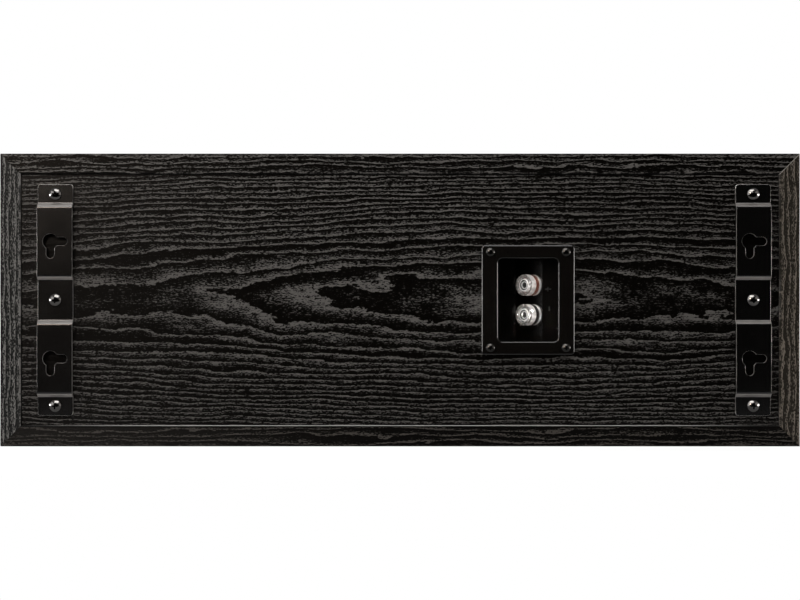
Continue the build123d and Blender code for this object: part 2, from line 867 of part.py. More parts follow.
def woofer_pieces(side):
    """Pieces of one woofer; side +1 is the one at +X."""
    plate = ring(woofer_plate_radius, gap_radius, -magnet_front, -motor_depth)
    magnet = ring(woofer_magnet_radius, woofer_magnet_bore_radius, -magnet_rear, -magnet_front)
    pieces = {
        "basket": woofer_basket() + woofer_tag_tab(-side),
        "surround": woofer_surround(),
        "cone": woofer_cone(),
        "dust_cap": dust_cap(),
        "voice_coil": woofer_voice_coil(),
        "spider": woofer_spider(),
        "top_plate": plate,
        "magnet": magnet,
        "yoke": woofer_yoke(),
    }
    frame = facing_front(side * woofer_x, middle_z)
    return {name: frame * piece for name, piece in pieces.items()}


def woofer_screws():
    screw = socket_screw(
        woofer_screw_radius,
        woofer_screw_length,
        woofer_screw_head_radius,
        woofer_screw_head_height,
        hex_key_size,
    )
    screw = Pos(0, 0, -woofer_screw_sink) * screw
    frames = [facing_front(x, middle_z) for x in (-woofer_x, woofer_x)]
    return group(frame * place * screw for frame in frames for place in at(*woofer_screw_points()))


def tweeter_faceplate():
    """Round plate with a flared waveguide and a boss that clamps the dome's lip."""
    edge = tweeter_plate_edge_radius
    outer = tweeter_plate_radius
    plate = turned_curve(
        ThreePointArc(
            (throat_radius, -tweeter_boss_depth),
            (throat_radius + (waveguide_radius - throat_radius) * 0.34, -tweeter_boss_depth * 0.42),
            (waveguide_radius, 0),
        ),
        Line((waveguide_radius, 0), (outer - edge, 0)),
        RadiusArc((outer - edge, 0), (outer, -edge), edge),
        Line((outer, -edge), (outer, -tweeter_plate_thickness)),
        Line((outer, -tweeter_plate_thickness), (tweeter_boss_radius, -tweeter_plate_thickness)),
        Line((tweeter_boss_radius, -tweeter_plate_thickness), (tweeter_boss_radius, -tweeter_boss_depth)),
        Line((tweeter_boss_radius, -tweeter_boss_depth), (throat_radius, -tweeter_boss_depth)),
    )
    for place in at(*tweeter_screw_points()):
        hole = rod(tweeter_screw_radius + screw_hole_clearance, -tweeter_plate_thickness - 1, 1)
        sink = rod(tweeter_screw_head_radius + screw_hole_clearance, -tweeter_screw_sink, 1)
        plate -= place * (hole + sink)
    return plate


def tweeter_dome():
    """Silk dome, half-roll and clamped lip in one film."""
    top = -tweeter_boss_depth
    base = top - dome_thickness
    crown = base + dome_height
    roll_end = dome_radius + 2 * dome_roll_radius
    roll_middle = dome_radius + dome_roll_radius
    thin = dome_thickness
    inside = dome_radius - thin
    return turned_curve(
        Line((0, crown - thin), (0, crown)),
        cap_arc(dome_radius, top, dome_height - thin),
        ThreePointArc(
            (dome_radius, top), (roll_middle, top + dome_roll_radius), (roll_end, top)
        ),
        Line((roll_end, top), (roll_end + dome_lip, top)),
        Line((roll_end + dome_lip, top), (roll_end + dome_lip, base)),
        Line((roll_end + dome_lip, base), (roll_end - thin, base)),
        ThreePointArc(
            (roll_end - thin, base), (roll_middle, top + dome_roll_radius - thin), (dome_radius + thin, base)
        ),
        Line((dome_radius + thin, base), (inside, base)),
        cap_arc(inside, base, dome_height - thin),
    )


def tweeter_pieces():
    """Dome tweeter on the cabinet's middle line, coil and motor behind it."""
    base = -tweeter_boss_depth - dome_thickness
    coil_outer = dome_radius + dome_thickness
    coil_inner = coil_outer - tweeter_coil_thickness
    pole = coil_inner - tweeter_coil_gap
    bore = coil_outer + tweeter_coil_gap
    magnet_top = base - tweeter_top_plate_thickness
    magnet_bottom = magnet_top - tweeter_magnet_thickness
    bottom = magnet_bottom - tweeter_yoke_thickness
    pieces = {
        "tweeter_faceplate": tweeter_faceplate(),
        "tweeter_dome": tweeter_dome(),
        "tweeter_voice_coil": ring(coil_outer, coil_inner, base - tweeter_coil_length, base),
        "tweeter_top_plate": ring(tweeter_top_plate_radius, bore, magnet_top, base),
        "tweeter_magnet": ring(
            tweeter_magnet_radius, tweeter_magnet_bore_radius, magnet_bottom, magnet_top
        ),
        "tweeter_yoke": turned(
            (0, bottom),
            (tweeter_top_plate_radius, bottom),
            (tweeter_top_plate_radius, magnet_bottom),
            (pole, magnet_bottom),
            (pole, base - dome_thickness),
            (0, base - dome_thickness),
        ),
    }
    screw = socket_screw(
        tweeter_screw_radius,
        tweeter_screw_length,
        tweeter_screw_head_radius,
        tweeter_screw_head_height,
        hex_key_size,
    )
    screw = Pos(0, 0, -tweeter_screw_sink) * screw
    pieces["tweeter_screws"] = group(place * screw for place in at(*tweeter_screw_points()))
    frame = facing_front(0, middle_z)
    return {name: frame * piece for name, piece in pieces.items()}


def grille_sockets():
    """Rubber cups that take the grille's pegs."""
    socket = turned(
        (0, -grille_socket_depth),
        (grille_socket_radius, -grille_socket_depth),
        (grille_socket_radius, 0),
        (grille_socket_flange_radius, 0),
        (grille_socket_flange_radius, grille_socket_flange_thickness),
        (grille_peg_radius, grille_socket_flange_thickness),
        (grille_peg_radius, -grille_peg_depth),
        (0, -grille_peg_depth),
    )
    frame = facing_front(0, middle_z)
    return group(frame * place * socket for place in at(*grille_socket_points()))


def damping_pads():
    """Wadding on the back panel behind each woofer, clear of the cup and the board."""
    height = cabinet_height - 2 * panel_thickness - 2 * damping_margin
    outer = cabinet_width / 2 - panel_thickness - damping_margin
    cup_edge = cup_offset + tub_width / 2 + damping_margin
    board_edge = crossover_offset + board_width / 2 + damping_margin
    pads = []
    for side, inner in ((-1, cup_edge), (1, board_edge)):
        frame = facing_inside(side * (inner + outer) / 2, middle_z, back_inner_y)
        pads.append(frame * slab(outer - inner, height, 0, damping_thickness))
    return group(pads)


def bobbin_coil(radius, height, bore):
    """Air-core coil: winding between two flanges, standing on local z = 0."""
    return turned(
        (bore, 0),
        (radius, 0),
        (radius, coil_flange),
        (radius - coil_flange_step, coil_flange),
        (radius - coil_flange_step, height - coil_flange),
        (radius, height - coil_flange),
        (radius, height),
        (bore, height),
    )


def crossover_pieces():
    """Board on four supports with its coils, capacitors and resistor toward the cabinet."""
    half_w = board_width / 2
    half_h = board_height / 2
    x = half_w - board_margin
    y = half_h - board_margin
    corners = [(-x, -y), (x, -y), (-x, y), (x, y)]
    face = support_height + board_thickness
    frame = facing_inside(crossover_offset, middle_z, back_inner_y)
    supports = group(frame * place * rod(support_radius, 0, support_height) for place in at(*corners))
    board = frame * slab(board_width, board_height, support_height, face)
    low = Pos(half_w - low_pass_coil_radius - board_margin, 0, face) * bobbin_coil(
        low_pass_coil_radius, low_pass_coil_height, low_pass_coil_bore_radius
    )
    high = Pos(high_pass_coil_radius - half_w + 2 * board_margin, 0, face) * bobbin_coil(
        high_pass_coil_radius, high_pass_coil_height, high_pass_coil_bore_radius
    )
    lying = Rot(0, 90, 0)
    upper = half_h - large_capacitor_radius - board_margin / 2
    lower = small_capacitor_radius + board_margin - half_h
    large = Pos(board_margin, upper, face + large_capacitor_radius)
    small = Pos(3 * board_margin, lower, face + small_capacitor_radius)
    capacitors = group(
        [
            frame * large * lying * Cylinder(large_capacitor_radius, large_capacitor_length),
            frame * small * lying * Cylinder(small_capacitor_radius, small_capacitor_length),
        ]
    )
    resistor_place = Pos(
        resistor_length / 2 - half_w + 2 * board_margin,
        -high_pass_coil_radius - resistor_side / 2 - board_margin / 2,
        face + resistor_side / 2,
    )
    resistor = resistor_place * Box(resistor_length, resistor_side, resistor_side)
    return {
        "crossover_supports": supports,
        "crossover_board": board,
        "low_pass_coil": frame * low,
        "high_pass_coil": frame * high,
        "film_capacitors": capacitors,
        "power_resistor": frame * resistor,
    }


def lead(points):
    """Round lead along straight runs and tangent bends."""
    path = FilletPolyline(*points, radius=lead_bend_radius)
    section = Plane(origin=path @ 0, z_dir=path % 0) * Circle(lead_radius)
    return sweep(section, path=path)


def lead_pair(start, end, run_y, spread):
    """Two leads side by side, out along y from each end and across between them at run_y."""
    pair = []
    for offset in (-lead_pitch / 2, lead_pitch / 2):
        shift = Pos(offset * spread[0], 0, offset * spread[1])
        corners = [start, (start[0], run_y, start[2]), (end[0], run_y, end[2]), end]
        pair.append(shift * lead(corners))
    return pair


def input_leads():
    """Leads from the two solder tags to the board's near edge."""
    pad_x = crossover_offset - board_width / 2 + board_margin
    run_y = board_y - lead_run_depth
    leads = []
    for frame in post_frames().values():
        tag = frame * Pos(tag_reach - 2 * lead_radius, 0, -cup_wall - tag_thickness)
        x, y, z = tag.position
        corners = [(x, y - lead_radius, z), (x, run_y, z), (pad_x, run_y, z), (pad_x, board_y, z)]
        leads.append(lead(corners))
    return group(leads)


def woofer_leads():
    """Pairs from the board to the tag tab of each woofer."""
    tag_y = front_y + spider_shelf_depth + 2 * basket_wall
    tag_x = woofer_x - spider_shelf_radius - woofer_tag_reach + 2 * lead_radius
    pad_x = crossover_offset - board_width / 4
    pads_z = board_height / 2 - board_margin
    run_y = board_y - lead_run_depth - 2 * lead_layer
    upright = (0, 1)
    right = lead_pair((pad_x, board_y, middle_z + pads_z), (tag_x, tag_y, middle_z), run_y, upright)
    left = lead_pair((pad_x, board_y, middle_z - pads_z), (-tag_x, tag_y, middle_z), run_y, upright)
    return group(right + left)


def tweeter_leads():
    """Pair from the board to the rear of the tweeter's faceplate."""
    pad_x = crossover_offset - board_width / 2 + board_margin
    clear = (tweeter_magnet_radius + tweeter_boss_radius) / 2
    start = (pad_x, board_y, middle_z)
    end = (0, front_y + tweeter_boss_depth, middle_z - clear)
    return group(lead_pair(start, end, board_y - lead_run_depth - lead_layer, (1, 0)))


def terminal_pieces():
    """Cup, gasket, posts and everything that holds them."""
    cup_frame = facing_rear(-cup_offset, middle_z)
    screw = Pos(0, 0, cup_face) * pan_screw(
        cup_screw_radius, cup_screw_length, cup_screw_head_radius, cup_screw_head_height
    )
    pieces = {
        "terminal_cup": terminal_cup(),
        "terminal_gasket": terminal_gasket(),
        "terminal_screws": group(cup_frame * place * screw for place in at(*cup_screw_points())),
    }
    for name, frame in post_frames().items():
        pieces[name + "_post_stud"] = frame * post_stud()
        pieces[name + "_nut_insert"] = frame * nut_insert()
        pieces[name + "_nut_sleeve"] = frame * nut_sleeve()
        pieces[name + "_post_ring"] = frame * coloured_ring()
    frames = post_frames().values()
    pieces["solder_tags"] = group(frame * solder_tag() for frame in frames)
    pieces["post_lock_nuts"] = group(frame * lock_nut() for frame in frames)
    return pieces


def bracket_pieces():
    """Both hanging strips and their screws."""
    strip = hanging_bracket()
    screw = Pos(0, 0, strip_thickness) * pan_screw(
        bracket_screw_radius,
        bracket_screw_length,
        bracket_screw_head_radius,
        bracket_screw_head_height,
    )
    pieces = {}
    screws = []
    for side, frame in bracket_frames().items():
        pieces[side + "_hanging_bracket"] = frame * strip
        screws += [frame * place * screw for place in at(*bracket_screw_points())]
    pieces["bracket_screws"] = group(screws)
    return pieces


nodes = sleeve_panels()
nodes["front_baffle"] = front_baffle()
nodes["back_panel"] = back_panel()
nodes["damping_pads"] = damping_pads()
nodes["grille_sockets"] = grille_sockets()
nodes.update(bracket_pieces())
nodes.update(terminal_pieces())
for side_name, side_sign in (("left", -1), ("right", 1)):
    for piece_name, piece in woofer_pieces(side_sign).items():
        nodes[side_name + "_woofer_" + piece_name] = piece
nodes["woofer_screws"] = woofer_screws()
nodes.update(tweeter_pieces())
nodes.update(crossover_pieces())
nodes["input_leads"] = input_leads()
nodes["woofer_leads"] = woofer_leads()
nodes["tweeter_leads"] = tweeter_leads()

os.makedirs("parts", exist_ok=True)
for node_name, shape in nodes.items():
    export_step(shape, "parts/" + node_name + ".step")
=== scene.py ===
import math

import bmesh
import bpy
from mathutils import Matrix, Vector
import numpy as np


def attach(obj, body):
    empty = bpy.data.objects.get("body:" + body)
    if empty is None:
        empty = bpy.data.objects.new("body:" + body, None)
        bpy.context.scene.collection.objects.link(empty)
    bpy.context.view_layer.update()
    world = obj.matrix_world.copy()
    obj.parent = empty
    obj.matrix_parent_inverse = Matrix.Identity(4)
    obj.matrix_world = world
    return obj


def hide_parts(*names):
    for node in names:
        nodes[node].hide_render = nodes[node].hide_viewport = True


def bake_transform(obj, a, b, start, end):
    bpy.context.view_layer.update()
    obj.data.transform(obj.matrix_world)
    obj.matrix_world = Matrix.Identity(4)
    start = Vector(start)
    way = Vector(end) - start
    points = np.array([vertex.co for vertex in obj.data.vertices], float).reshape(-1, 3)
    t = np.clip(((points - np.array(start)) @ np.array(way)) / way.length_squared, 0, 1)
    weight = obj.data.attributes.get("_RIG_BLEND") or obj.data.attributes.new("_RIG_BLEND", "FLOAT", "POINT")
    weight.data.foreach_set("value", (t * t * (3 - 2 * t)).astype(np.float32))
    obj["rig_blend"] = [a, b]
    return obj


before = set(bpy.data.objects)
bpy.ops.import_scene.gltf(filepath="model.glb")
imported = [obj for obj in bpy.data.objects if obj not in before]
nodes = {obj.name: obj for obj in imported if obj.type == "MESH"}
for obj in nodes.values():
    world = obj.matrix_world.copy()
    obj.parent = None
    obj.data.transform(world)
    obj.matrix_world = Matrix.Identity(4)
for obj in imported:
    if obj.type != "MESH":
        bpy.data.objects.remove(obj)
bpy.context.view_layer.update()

MM = 0.001

# Places on the part, in millimetres
HALF_WIDTH = 254.0
HEIGHT = 186.0
MIDDLE = HEIGHT / 2
HALF_DEPTH = 75.0
RIM_EDGE = 12.0
PANEL_FOOT = 13.0
PANEL_HEAD = 172.3
PANEL_SIDE = 240.3
STRAP_SHIFT = 2.7
STRAP_REACH = 221.7
STRAP_HALF_WIDTH = 11.1
STRAP_FOOT = 21.0
STRAP_HEAD = 165.0
STRAP_TIP = 71.2
WOOFER_REACH = 158.0
POST_X = -85.803
POST_Y = 63.803
POST_RISE = 9.5
POST_SLANT = math.sqrt(0.5)
LEDGE_FACE = 69.0

# Places in the studio, in metres
CABINET_MIDDLE = MIDDLE * MM
REAR_FACE = HALF_DEPTH * MM
FRONT_FACE = -HALF_DEPTH * MM
PHOTO_DISTANCE = 1.0


class Wire:
    """One socket of a finish's node tree; arithmetic on it adds Math nodes."""

    def __init__(self, tree, socket=None):
        self.tree = tree
        self.socket = socket

    def node(self, kind, settings=None, inputs=None, output=0):
        """Adds a node, sets it up, fills its sockets and gives back one of its outputs."""
        made = self.tree.nodes.new("ShaderNode" + kind)
        for name, value in (settings or {}).items():
            setattr(made, name, value)
        for key, value in (inputs or {}).items():
            self.feed(made.inputs[key], value)
        return Wire(self.tree, made.outputs[output])

    def feed(self, target, value):
        """Links a wire to a socket, or sets the socket to a constant."""
        if isinstance(value, Wire):
            self.tree.links.new(value.socket, target)
        else:
            target.default_value = value

    def maths(self, operation, *values):
        return self.node("Math", {"operation": operation}, dict(enumerate(values)))

    def __add__(self, other):
        return self.maths("ADD", self, other)

    __radd__ = __add__

    def __sub__(self, other):
        return self.maths("SUBTRACT", self, other)

    def __rsub__(self, other):
        return self.maths("SUBTRACT", other, self)

    def __mul__(self, other):
        return self.maths("MULTIPLY", self, other)

    __rmul__ = __mul__

    def __truediv__(self, other):
        return self.maths("DIVIDE", self, other)

    def __pow__(self, other):
        return self.maths("POWER", self, other)

    def __abs__(self):
        return self.maths("ABSOLUTE", self)

    def step(self, low, high, start=0.0, end=1.0):
        """A soft step of this value, from start below low to end above high."""
        return self.node(
            "MapRange",
            {"interpolation_type": "SMOOTHSTEP", "clamp": True},
            {0: self, 1: low, 2: high, 3: start, 4: end},
        )

    def within(self, low, high, soft):
        """1 between low and high and 0 outside them, with a soft margin inside each."""
        return self.step(low, low + soft) * (1 - self.step(high - soft, high))

    def tint(self, low, high):
        """A colour between low and high."""
        return self.node(
            "Mix", {"data_type": "RGBA", "clamp_factor": True}, {0: self, 6: low, 7: high}, 2
        )

    def noise(self, scale, detail=2.0, roughness=0.5):
        return self.node(
            "TexNoise",
            {"noise_dimensions": "3D"},
            {"Vector": self, "Scale": scale, "Detail": detail, "Roughness": roughness},
        )

    def stretch(self, scale, place=(0, 0, 0)):
        return self.node("Mapping", {}, {"Vector": self, "Location": place, "Scale": scale})


def rgb(red, green, blue):
    """A linear colour from the 0 to 255 values that a screen shows."""
    parts = [value / 255 for value in (red, green, blue)]
    return tuple(p / 12.92 if p < 0.04045 else ((p + 0.055) / 1.055) ** 2.4 for p in parts) + (1,)


def new_finish(name, **sockets):
    """A material with its constant sockets set. Gives the material and its Object coordinates."""
    finish = bpy.data.materials.new(name)
    finish.use_nodes = True
    shader = finish.node_tree.nodes["Principled BSDF"]
    for key, value in sockets.items():
        shader.inputs[key.replace("_", " ")].default_value = value
    start = Wire(finish.node_tree).node("TexCoord", {}, {}, "Object")
    return finish, start


def feed(finish, **sockets):
    """Links what varies over the surface to the main shader."""
    shader = finish.node_tree.nodes["Principled BSDF"]
    for key, wire in sockets.items():
        wire.feed(shader.inputs[key.replace("_", " ")], wire)


def bump(height, distance, strength):
    return height.node("Bump", {}, {"Height": height, "Distance": distance, "Strength": strength})


def axes(place):
    """The three Object coordinates, in millimetres."""
    split = place.node("SeparateXYZ", {}, {"Vector": place})
    made = split.socket.node
    return [Wire(place.tree, made.outputs[k]) * 1000 for k in range(3)]


def ash_foil(
    name, direction, rings, dark, light, cover=0.5, seed=0.0, swing=(95, 26), drift=2.6, marks=(),
    strength=None,
):
    """Embossed black ash foil: growth rings with one crisp edge, broken into short dashes.

    direction gives the lengths along and across the grain for x, y and z, and rings gives the
    ring number for those two. marks are masks with the colours that they paint.
    """
    finish, place = new_finish(name, Specular_IOR_Level=0.065)
    where = axes(place)
    along, across = direction(*where)
    grain = along.node("CombineXYZ", {}, {0: along, 1: across, 2: seed})

    def streaks(length, width, start, detail, roughness=0.5):
        """Noise drawn out along the grain, with its cells' size in millimetres."""
        return grain.stretch((1 / length, 1 / width, 1), start).noise(1.0, detail, roughness)

    sway = streaks(*swing, (0, 0, 0), 2.0)
    ripple = streaks(22, 7, (7, 3, 0), 2.0)
    edge = streaks(3.2, 2.0, (2, 9, 0), 1.0)
    wander = (sway - 0.5) + (ripple - 0.5) * 0.38 + (edge - 0.5) * 0.11
    phase = rings(along, across) + wander * drift
    ring = phase.maths("FLOOR", phase)
    depth = phase - ring
    chance = ring.node("TexWhiteNoise", {"noise_dimensions": "1D"}, {"W": ring + seed})
    reach = chance * 0.45 + (cover - 0.1)
    band = depth.step(0.0, 0.07) * (1 - depth.step(reach * 0.3, reach + 0.3))
    crest = depth.step(0.02, 0.08) * (1 - depth.step(0.12, 0.3))
    patch = streaks(14, 2.4, (5, 8, 0), 2.0)
    density = (band * 0.8 + crest * 0.4) * (0.45 + 1.1 * patch)
    fibre = streaks(5.0, 0.8, (1, 5, 0), 2.0, 0.6)
    speck = streaks(1.7, 0.6, (4, 2, 0), 1.0, 0.6)
    weave = fibre * 0.45 + speck * 0.55 - 0.5
    dash = (weave * 16 + density * 2.6 - 2.3).step(-0.7, 0.7)
    wash = streaks(160, 60, (3, 1, 0), 2.0)
    tone = dash * (0.5 + 0.5 * density) * (0.62 + wash * 0.76)
    # strength scales the tone by place; on the back it is painted light falloff.
    if strength:
        tone = tone * strength(*where)
    colour = tone.tint(dark, light)
    for mask, paint in marks:
        colour = mask(*where).tint(colour, paint)
    feed(
        finish,
        Base_Color=colour,
        Roughness=0.29 + 0.1 * dash,
        Normal=bump(dash, 0.05 * MM, 0.6),
    )
    return finish


def eye_rings(along, across):
    """Rings of a flat-sawn board: ovals round one eye, tight outside and drawn out to one end."""
    eye_along, eye_across = -102.0, 94.2
    oval_length, oval_height = 134.0, 14.5
    x = (along - eye_along) / oval_length
    x = x.maths("MINIMUM", x, x * 0.6 + 0.6)
    z = (across - eye_across) / oval_height
    return (x * x + z * z + 0.02) ** 0.84 - 0.1


def line_rings(pitch):
    """Rings of a quarter-sawn board: straight lines, one for each pitch across the grain."""
    return lambda along, across: across / pitch


def painted_light_falloff(x, y, z):
    """Painted light falloff on the back: brightest in its upper middle, darkest at the bottom and ends."""
    middle = 1 - abs(x - 20).step(60, 200)
    return 0.87 + 0.33 * middle * z.step(30, 120)


def painted_sheen_end(amount, start):
    """Painted sheen: a paler ground toward the end that stands on the left when the back is seen, where the
    left lamps' veil lies.
    """
    return lambda x, y, z: amount * x.step(start, 240)


def open_mitre(x, y, z):
    """Line where the upper joint of the left side stands a little open."""
    off = abs((x + HALF_WIDTH) - (HEIGHT - z))
    return (1 - off.step(0.2, 0.7)) * z.step(150, 160)


def painted_edge_highlight(x, y, z):
    """Painted highlight on the foil's cut edge along the bottom of the back panel, lost toward both ends."""
    return (1 - z.step(PANEL_FOOT, PANEL_FOOT + 0.4)) * (1 - abs(x).step(150, 245))


def shadow_gap(x, y, z):
    """Painted shadow in the joint round the back panel, on its top and its right side."""
    return z.step(PANEL_HEAD, PANEL_HEAD + 0.3) + x.step(PANEL_SIDE, PANEL_SIDE + 0.3)


def painted_shadow_lower_gap(x, y, z):
    """Painted shadow in the joint on the inside of the lower rim."""
    return z.step(RIM_EDGE, RIM_EDGE + 0.3)


def painted_shade_under_straps(x, y, z):
    """Painted shade on the ground that the two hanging brackets cover, seen through their keyholes."""
    off = abs(abs(x + STRAP_SHIFT) - STRAP_REACH)
    beside = off.step(STRAP_HALF_WIDTH - 0.5, STRAP_HALF_WIDTH)
    return (1 - beside) * z.within(STRAP_FOOT, STRAP_HEAD, 0.4)


def plain(name, colour, roughness, metallic=0.0, mottle=0.15, grain_size=0.6, height=0.01, **more):
    """A finish of one colour with a fine mottle in its colour, gloss and surface."""
    finish, place = new_finish(name, Metallic=metallic, **more)
    fine = place.noise(1000 / grain_size, 2.0)
    broad = place.noise(55.0, 3.0)
    dark = tuple(c * (1 - mottle) for c in colour[:3]) + (1,)
    light = tuple(min(1, c * (1 + mottle)) for c in colour[:3]) + (1,)
    feed(
        finish,
        Base_Color=broad.tint(dark, light),
        Roughness=roughness * (0.8 + 0.4 * broad),
        Normal=bump(fine, height * MM, 0.5),
    )
    return finish


def strap_steel():
    """Black painted strap steel, rubbed bright on its steps and its edges, with painted light on the bare
    steel: paler on faces that look down, and a painted highlight at its ends.
    """
    paint = (0.0006, 0.0005, 0.0004, 1)
    dull_steel = (0.21, 0.196, 0.186, 1)
    underside_lit_steel = (0.4, 0.373, 0.355, 1)
    end_highlight_steel = (0.92, 0.88, 0.85, 1)
    finish, place = new_finish("black_strap_steel", Specular_IOR_Level=0.36)
    soft_edge = place.node("Bevel", {"samples": 10}, {"Radius": 0.35 * MM})
    rearward = place.node("SeparateXYZ", {}, {"Vector": soft_edge}, 1)
    upward = place.node("SeparateXYZ", {}, {"Vector": soft_edge}, 2)
    z = axes(place)[2]
    broad = place.noise(60.0, 3.0)
    fine = place.noise(900.0, 2.0)
    rubbed = 1 - abs(rearward).step(0.72, 0.93)
    wear = rubbed * (0.7 + 0.6 * place.noise(160.0, 3.0))
    # Faces that look down are painted paler, standing in for light from below.
    downward_painted_light = 1 - upward.step(-0.6, -0.2)
    # A painted highlight on the strap's ends.
    ends = abs(z - MIDDLE).step(STRAP_TIP - 0.6, STRAP_TIP)
    bare_steel_and_painted_light = ends.tint(downward_painted_light.tint(dull_steel, underside_lit_steel), end_highlight_steel)
    feed(
        finish,
        Base_Color=wear.tint(paint, bare_steel_and_painted_light),
        Metallic=rubbed * 0.6,
        Roughness=0.2 + 0.06 * broad + rubbed * 0.1,
        Normal=place.node(
            "Bump", {}, {"Height": fine, "Distance": 0.008 * MM, "Strength": 0.4, "Normal": soft_edge}
        ),
    )
    return finish


def screw_steel(name, colour, roughness):
    """Blackened steel with painted shade darkening its drive recess."""
    recess_shade = (0.0008, 0.0007, 0.0006, 1)
    finish, place = new_finish(name, Metallic=1.0)
    # Ambient occlusion paints shade into the drive recess.
    open_air = place.node("AmbientOcclusion", {"samples": 8}, {"Distance": 1.6 * MM}, "AO")
    broad = place.noise(300.0, 2.0)
    feed(
        finish,
        Base_Color=open_air.step(0.5, 0.9).tint(recess_shade, colour),
        Roughness=roughness * (0.8 + 0.4 * broad),
        Normal=bump(place.noise(1700.0, 2.0), 0.008 * MM, 0.5),
    )
    return finish


def cone_pulp():
    """Coated paper pulp: felted fibres under a thin dark coat, a little shinier toward the rim."""
    finish, place = new_finish("cone_pulp")
    x, y, z = axes(place)
    reach = abs(x) - WOOFER_REACH
    rise = z - MIDDLE
    radius = (reach * reach + rise * rise) ** 0.5
    felt = place.noise(420.0, 4.0, 0.7)
    cloud = place.noise(70.0, 3.0)
    upright_hair = place.stretch((260, 260, 900)).noise(1.0, 2.0)
    level_hair = place.stretch((900, 260, 260)).noise(1.0, 2.0)
    hair = upright_hair * level_hair
    tone = (felt * 0.6 + cloud * 0.4 + hair * 0.5).step(0.35, 0.95)
    feed(
        finish,
        Base_Color=tone.tint(rgb(20, 20, 21), rgb(52, 52, 54)),
        Roughness=0.66 - radius * 0.0022,
        Normal=bump(felt + hair, 0.09 * MM, 0.7),
    )
    return finish


def dome_silk():
    """Coated silk: a fine weave under a soft sheen."""
    thread_pitch = 0.55
    finish, place = new_finish("dome_silk", Sheen_Weight=0.25, Sheen_Roughness=0.4)
    x, y, z = axes(place)
    turns = 2 * math.pi / thread_pitch
    weave = x.maths("SINE", x * turns) * z.maths("SINE", z * turns)
    feed(
        finish,
        Base_Color=weave.step(-1, 1).tint(rgb(14, 14, 15), rgb(27, 27, 28)),
        Roughness=0.52 + 0.06 * weave,
        Normal=bump(weave, 0.03 * MM, 0.6),
    )
    return finish


def post_place(place):
    """Distance along the posts, and the two distances sideways from the nearer post's axis."""
    x, y, z = axes(place)
    outward = (x - POST_X) * POST_SLANT
    backward = (y - POST_Y) * POST_SLANT
    rise = abs(z - MIDDLE) - POST_RISE
    return outward + backward, backward - outward, rise


def threaded_nickel():
    """Satin nickel with a fine thread on the studs' shanks, and painted shade in the bore and at the thread.
    """
    finish, place = new_finish("threaded_nickel", Metallic=0.4)
    run, side, rise = post_place(place)
    radius_squared = side * side + rise * rise
    angle = rise.maths("ARCTAN2", rise, side) / (2 * math.pi)
    turn = run.maths("FRACT", run - angle)
    shank = radius_squared.within(8.4, 9.6, 0.4)
    broad = place.noise(300.0, 2.0)
    # Painted shade in the socket's bore and in the groove round the stud.
    bore = (1 - radius_squared.step(3.9, 4.3)) * (1 - run.step(8.2, 8.6))
    groove_shade = radius_squared.within(5.6, 10.8, 0.6) * run.step(5.0, 5.2)
    bright = broad.tint((0.88, 0.855, 0.83, 1), (0.96, 0.94, 0.915, 1))
    feed(
        finish,
        Base_Color=(bore + groove_shade).tint(bright, (0.012, 0.01, 0.008, 1)),
        Roughness=0.36 + 0.1 * broad,
        Normal=bump(abs(turn - 0.5) * 2 * shank, 0.3 * MM, 0.8),
    )
    return finish


def clear_sleeve():
    """Clear plastic over the nut, with the barrel bright in its grip and the ring in its foot."""
    finish, place = new_finish("clear_sleeve_plastic")
    run, side, rise = post_place(place)
    radius_squared = side * side + rise * rise
    z = axes(place)[2]
    upper = z.step(MIDDLE - 0.1, MIDDLE + 0.1)
    foot = 1 - run.step(5.0, 5.4)
    grip = (1 - foot) * (1 - run.step(9.7, 9.95)) * radius_squared.step(38, 42)
    mouth = run.step(9.3, 9.6) * radius_squared.step(21, 25)
    mist = place.noise(900.0, 2.0)
    pale = mist.tint((0.9, 0.87, 0.845, 1), (0.99, 0.965, 0.945, 1))
    glassy = mist.step(0.4, 0.6).tint(rgb(62, 58, 55), rgb(150, 144, 138))
    ring_colour = upper.tint(rgb(44, 36, 32), rgb(150, 88, 68))
    feed(
        finish,
        Base_Color=foot.tint(mouth.tint(pale, glassy), ring_colour),
        Alpha=0.16 + foot * 0.4 + grip * (0.66 + 0.2 * mist) + mouth * 0.6,
        Metallic=grip * 0.45,
        Roughness=0.15 + grip * 0.35,
        Normal=bump(mist, 0.01 * MM, 0.5),
    )
    return finish


BLACK = rgb(3, 2, 1)
GREY = rgb(86, 83, 80)
back_foil = ash_foil(
    "black_ash_back", lambda x, y, z: (x, z), eye_rings, BLACK, GREY,
    # The back's marks: painted sheen at the left end, painted shade under the straps and in the joint, a
    # painted highlight on the cut edge; strength is painted light falloff.
    marks=(
        (painted_sheen_end(0.13, 60), rgb(46, 43, 41)),
        (painted_shade_under_straps, BLACK),
        (shadow_gap, BLACK),
        (painted_edge_highlight, rgb(220, 217, 212)),
    ),
    strength=painted_light_falloff,
)
top_foil = ash_foil(
    "black_ash_top", lambda x, y, z: (x, z - y), line_rings(3.4), BLACK, GREY,
    cover=0.6, seed=11.0, swing=(60, 10), drift=2.9,
)
bottom_foil = ash_foil(
    "black_ash_bottom", lambda x, y, z: (x, z + y), line_rings(3.7), BLACK, rgb(66, 62, 58),
    cover=0.45, seed=23.0, swing=(60, 10), drift=2.9,
    # Painted sheen toward the left end, and painted shadow in the joint inside the rim.
    marks=((painted_sheen_end(0.25, 0), rgb(54, 51, 48)), (painted_shadow_lower_gap, BLACK)),
)
left_foil = ash_foil(
    "black_ash_left", lambda x, y, z: (z, x + y), line_rings(3.2), rgb(35, 32, 27), rgb(107, 99, 90),
    cover=0.75, seed=37.0, swing=(48, 9), drift=2.3, marks=((open_mitre, rgb(150, 146, 140)),),
)
